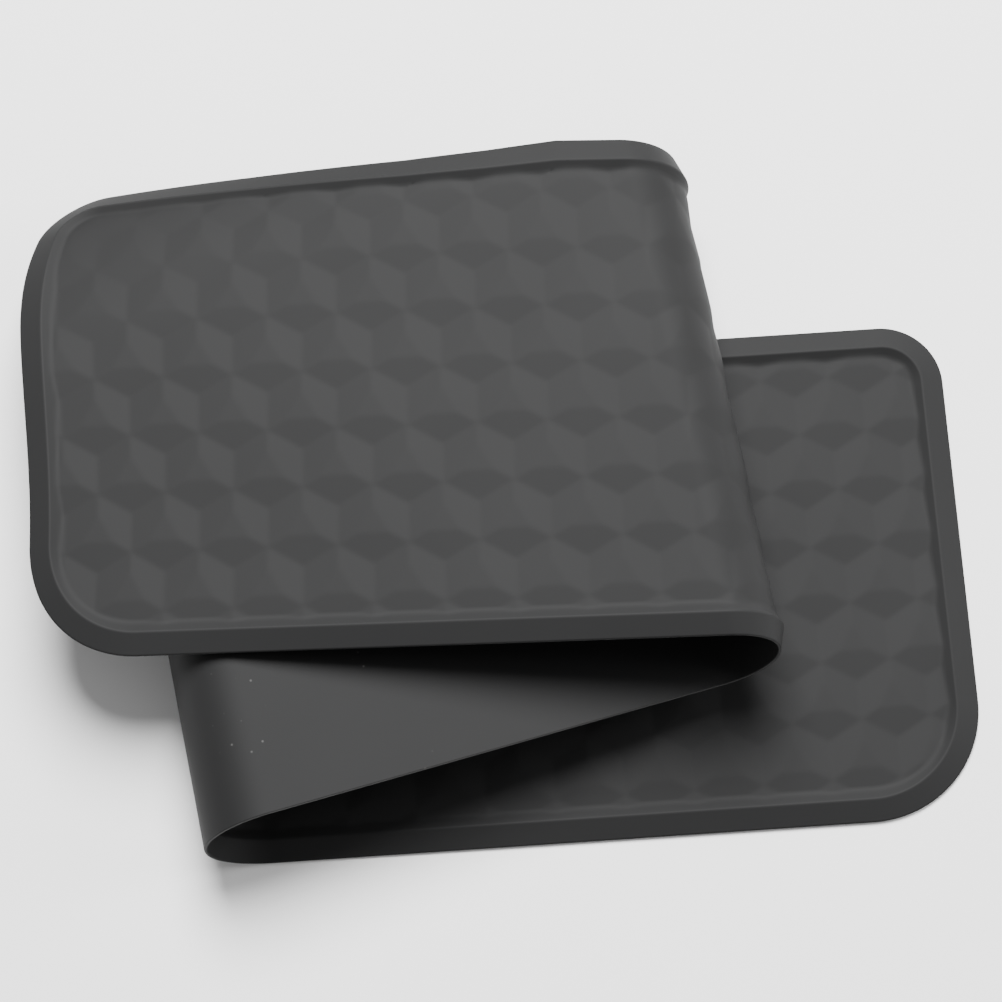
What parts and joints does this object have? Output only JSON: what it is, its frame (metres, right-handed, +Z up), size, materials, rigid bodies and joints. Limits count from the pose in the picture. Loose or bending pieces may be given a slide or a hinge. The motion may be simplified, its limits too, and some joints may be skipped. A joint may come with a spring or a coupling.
{
  "type": "folding rubber traction mat",
  "caption": "Long thin moulded rubber mat with a raised lip and a shallow faceted tread, folded in three; it hinges open along its two folds to lie flat.",
  "frame": {"origin": "middle of the bottom panel's underside, halfway along its front edge, on the surface the mat lies on", "axes": "+X along the bottom panel towards its free end, +Y across the mat towards the back long edge, +Z up"},
  "size_m": [0.4211, 0.3141, 0.0712],
  "materials": {
    "mat_rubber": "matt moulded rubber, dark grey, fine grain"
  },
  "bodies": {
    "bottom_panel": {"bottom_panel": "mat_rubber"},
    "left_fold_strip_1": {"left_fold_strip_1": "mat_rubber"},
    "left_fold_strip_2": {"left_fold_strip_2": "mat_rubber"},
    "left_fold_strip_3": {"left_fold_strip_3": "mat_rubber"},
    "left_fold_strip_4": {"left_fold_strip_4": "mat_rubber"},
    "middle_panel": {"middle_panel": "mat_rubber"},
    "right_fold_strip_1": {"right_fold_strip_1": "mat_rubber"},
    "right_fold_strip_2": {"right_fold_strip_2": "mat_rubber"},
    "right_fold_strip_3": {"right_fold_strip_3": "mat_rubber"},
    "right_fold_strip_4": {"right_fold_strip_4": "mat_rubber"},
    "top_panel": {"top_panel": "mat_rubber"},
    "corner_strip_1": {"corner_strip_1": "mat_rubber"},
    "corner_strip_2": {"corner_strip_2": "mat_rubber"},
    "corner_strip_3": {"corner_strip_3": "mat_rubber"}
  },
  "joints": [
    {"name": "unfold", "type": "hinge", "parent": "bottom_panel", "child": "left_fold_strip_1", "pos_m": [-0.1865, 0, 0.0024], "axis": [0.158, -0.9874, 0], "range_deg": [0, 37.7]},
    {"name": "hinge_left_fold_strip_2", "type": "hinge", "parent": "left_fold_strip_1", "child": "left_fold_strip_2", "pos_m": [-0.19924, 0.00052, 0.01206], "axis": [0.1433, -0.9896, 0.0114], "range_deg": [0, 37.7]},
    {"name": "hinge_left_fold_strip_3", "type": "hinge", "parent": "left_fold_strip_2", "child": "left_fold_strip_3", "pos_m": [-0.20354, 0.00233, 0.02737], "axis": [0.1386, -0.9899, 0.0296], "range_deg": [0, 37.7]},
    {"name": "hinge_left_fold_strip_4", "type": "hinge", "parent": "left_fold_strip_3", "child": "left_fold_strip_4", "pos_m": [-0.1977, 0.00554, 0.04191], "axis": [0.1458, -0.9882, 0.047], "range_deg": [0, 37.7]},
    {"name": "hinge_middle_panel", "type": "hinge", "parent": "left_fold_strip_4", "child": "middle_panel", "pos_m": [-0.18425, 0.00954, 0.04959], "axis": [0.1621, -0.9852, 0.0562], "range_deg": [0, 37.7]},
    {"name": "hinge_right_fold_strip_1", "type": "hinge", "parent": "middle_panel", "child": "right_fold_strip_1", "pos_m": [0.03641, 0.06337, 0.01693], "axis": [-0.1204, 0.9908, -0.0625], "range_deg": [0, 38.18]},
    {"name": "hinge_right_fold_strip_2", "type": "hinge", "parent": "right_fold_strip_1", "child": "right_fold_strip_2", "pos_m": [0.0497, 0.06748, 0.02462], "axis": [-0.1123, 0.992, -0.0578], "range_deg": [0, 38.18]},
    {"name": "hinge_right_fold_strip_3", "type": "hinge", "parent": "right_fold_strip_2", "child": "right_fold_strip_3", "pos_m": [0.05524, 0.07111, 0.03908], "axis": [-0.1089, 0.9928, -0.0492], "range_deg": [0, 38.18]},
    {"name": "hinge_right_fold_strip_4", "type": "hinge", "parent": "right_fold_strip_3", "child": "right_fold_strip_4", "pos_m": [0.05055, 0.07365, 0.05406], "axis": [-0.1115, 0.9929, -0.0402], "range_deg": [0, 38.18]},
    {"name": "hinge_top_panel", "type": "hinge", "parent": "right_fold_strip_4", "child": "top_panel", "pos_m": [0.03755, 0.07501, 0.06311], "axis": [-0.1191, 0.9923, -0.0347], "range_deg": [0, 38.18]},
    {"name": "hinge_corner_strip_1", "type": "hinge", "parent": "top_panel", "child": "corner_strip_1", "pos_m": [-0.07121, 0.16838, 0.0552], "axis": [0.9161, 0.3997, 0.0319], "range_deg": [0, 6]},
    {"name": "hinge_corner_strip_2", "type": "hinge", "parent": "corner_strip_1", "child": "corner_strip_2", "pos_m": [-0.139, 0.17102, 0.04876], "axis": [0.9161, 0.3997, 0.0319], "range_deg": [0, 6]},
    {"name": "hinge_corner_strip_3", "type": "hinge", "parent": "corner_strip_2", "child": "corner_strip_3", "pos_m": [-0.20644, 0.17313, 0.03927], "axis": [0.9161, 0.3997, 0.0319], "range_deg": [0, 6]}
  ],
  "couplings": [
    {"joint": "hinge_left_fold_strip_2", "follows": "unfold", "ratio": 1},
    {"joint": "hinge_left_fold_strip_3", "follows": "unfold", "ratio": 1},
    {"joint": "hinge_left_fold_strip_4", "follows": "unfold", "ratio": 1},
    {"joint": "hinge_middle_panel", "follows": "unfold", "ratio": 1},
    {"joint": "hinge_right_fold_strip_1", "follows": "unfold", "ratio": 1.0127},
    {"joint": "hinge_right_fold_strip_2", "follows": "unfold", "ratio": 1.0127},
    {"joint": "hinge_right_fold_strip_3", "follows": "unfold", "ratio": 1.0127},
    {"joint": "hinge_right_fold_strip_4", "follows": "unfold", "ratio": 1.0127},
    {"joint": "hinge_top_panel", "follows": "unfold", "ratio": 1.0127},
    {"joint": "hinge_corner_strip_1", "follows": "unfold", "ratio": 0.15915},
    {"joint": "hinge_corner_strip_2", "follows": "unfold", "ratio": 0.15915},
    {"joint": "hinge_corner_strip_3", "follows": "unfold", "ratio": 0.15915}
  ]
}
